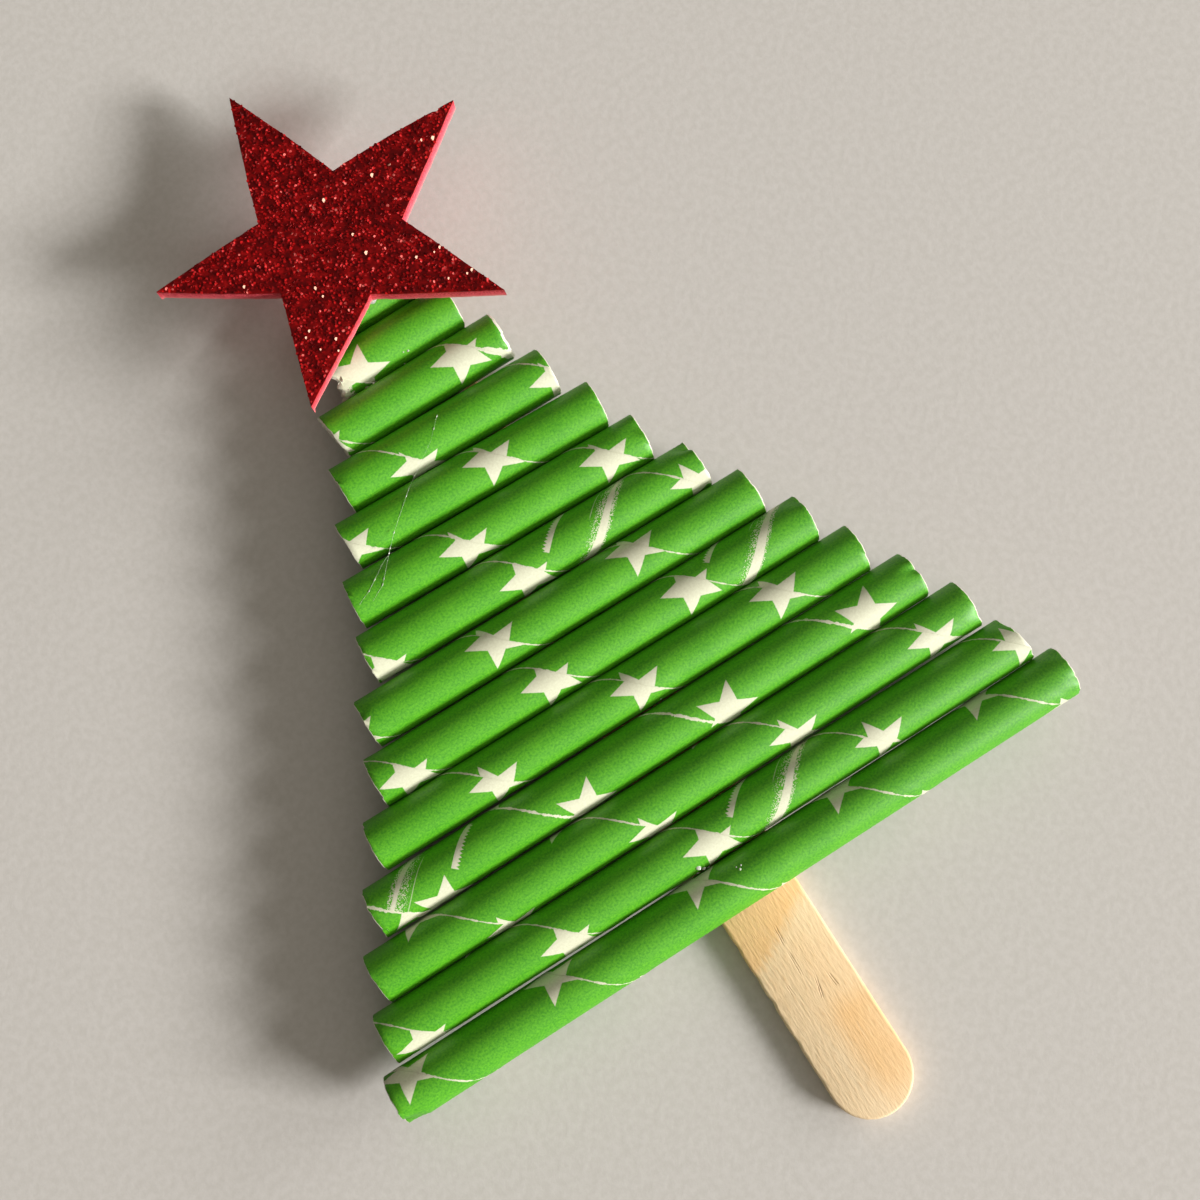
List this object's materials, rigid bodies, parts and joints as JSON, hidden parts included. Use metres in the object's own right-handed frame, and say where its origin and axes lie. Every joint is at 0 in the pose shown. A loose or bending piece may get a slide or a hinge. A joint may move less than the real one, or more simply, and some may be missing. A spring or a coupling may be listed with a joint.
{
  "type": "paper straw christmas tree",
  "caption": "Flat christmas tree decoration: green star-printed paper straws in a tapering row, glued across a craft-stick trunk, with a red glitter foam star on top.",
  "frame": {"origin": "on the back face of the craft stick, on its centreline, level with the lower edge of the bottom straw", "axes": "+Y along the stick from the trunk end to the star, +Z out of the front of the tree, +X to the right when the front is seen with the star up"},
  "size_m": [0.089, 0.1414, 0.0118],
  "materials": {
    "birch": "bare sanded birch veneer",
    "straw_paper": "green printed paper with white stars, slightly waxy",
    "hot_glue": "clear, glossy",
    "star_foam": "matte foam rubber",
    "star_glitter": "coarse red glitter"
  },
  "bodies": {
    "root": {"craft_stick": "birch", "straw_01": "straw_paper", "straw_02": "straw_paper", "straw_03": "straw_paper", "straw_04": "straw_paper", "straw_05": "straw_paper", "straw_06": "straw_paper", "straw_07": "straw_paper", "straw_08": "straw_paper", "straw_09": "straw_paper", "straw_10": "straw_paper", "straw_11": "straw_paper", "straw_12": "straw_paper", "straw_13": "straw_paper", "straw_14": "straw_paper", "glue_dab_01": "hot_glue", "glue_dab_02": "hot_glue", "glue_dab_03": "hot_glue", "glue_dab_04": "hot_glue", "glue_dab_05": "hot_glue", "glue_dab_06": "hot_glue", "glue_dab_07": "hot_glue", "glue_dab_08": "hot_glue", "glue_dab_09": "hot_glue", "glue_dab_10": "hot_glue", "glue_dab_11": "hot_glue", "glue_dab_12": "hot_glue", "glue_dab_13": "hot_glue", "glue_dab_14": "hot_glue", "star_foam": "star_foam", "star_glitter": "star_glitter", "star_glue": "hot_glue"}
  },
  "joints": []
}
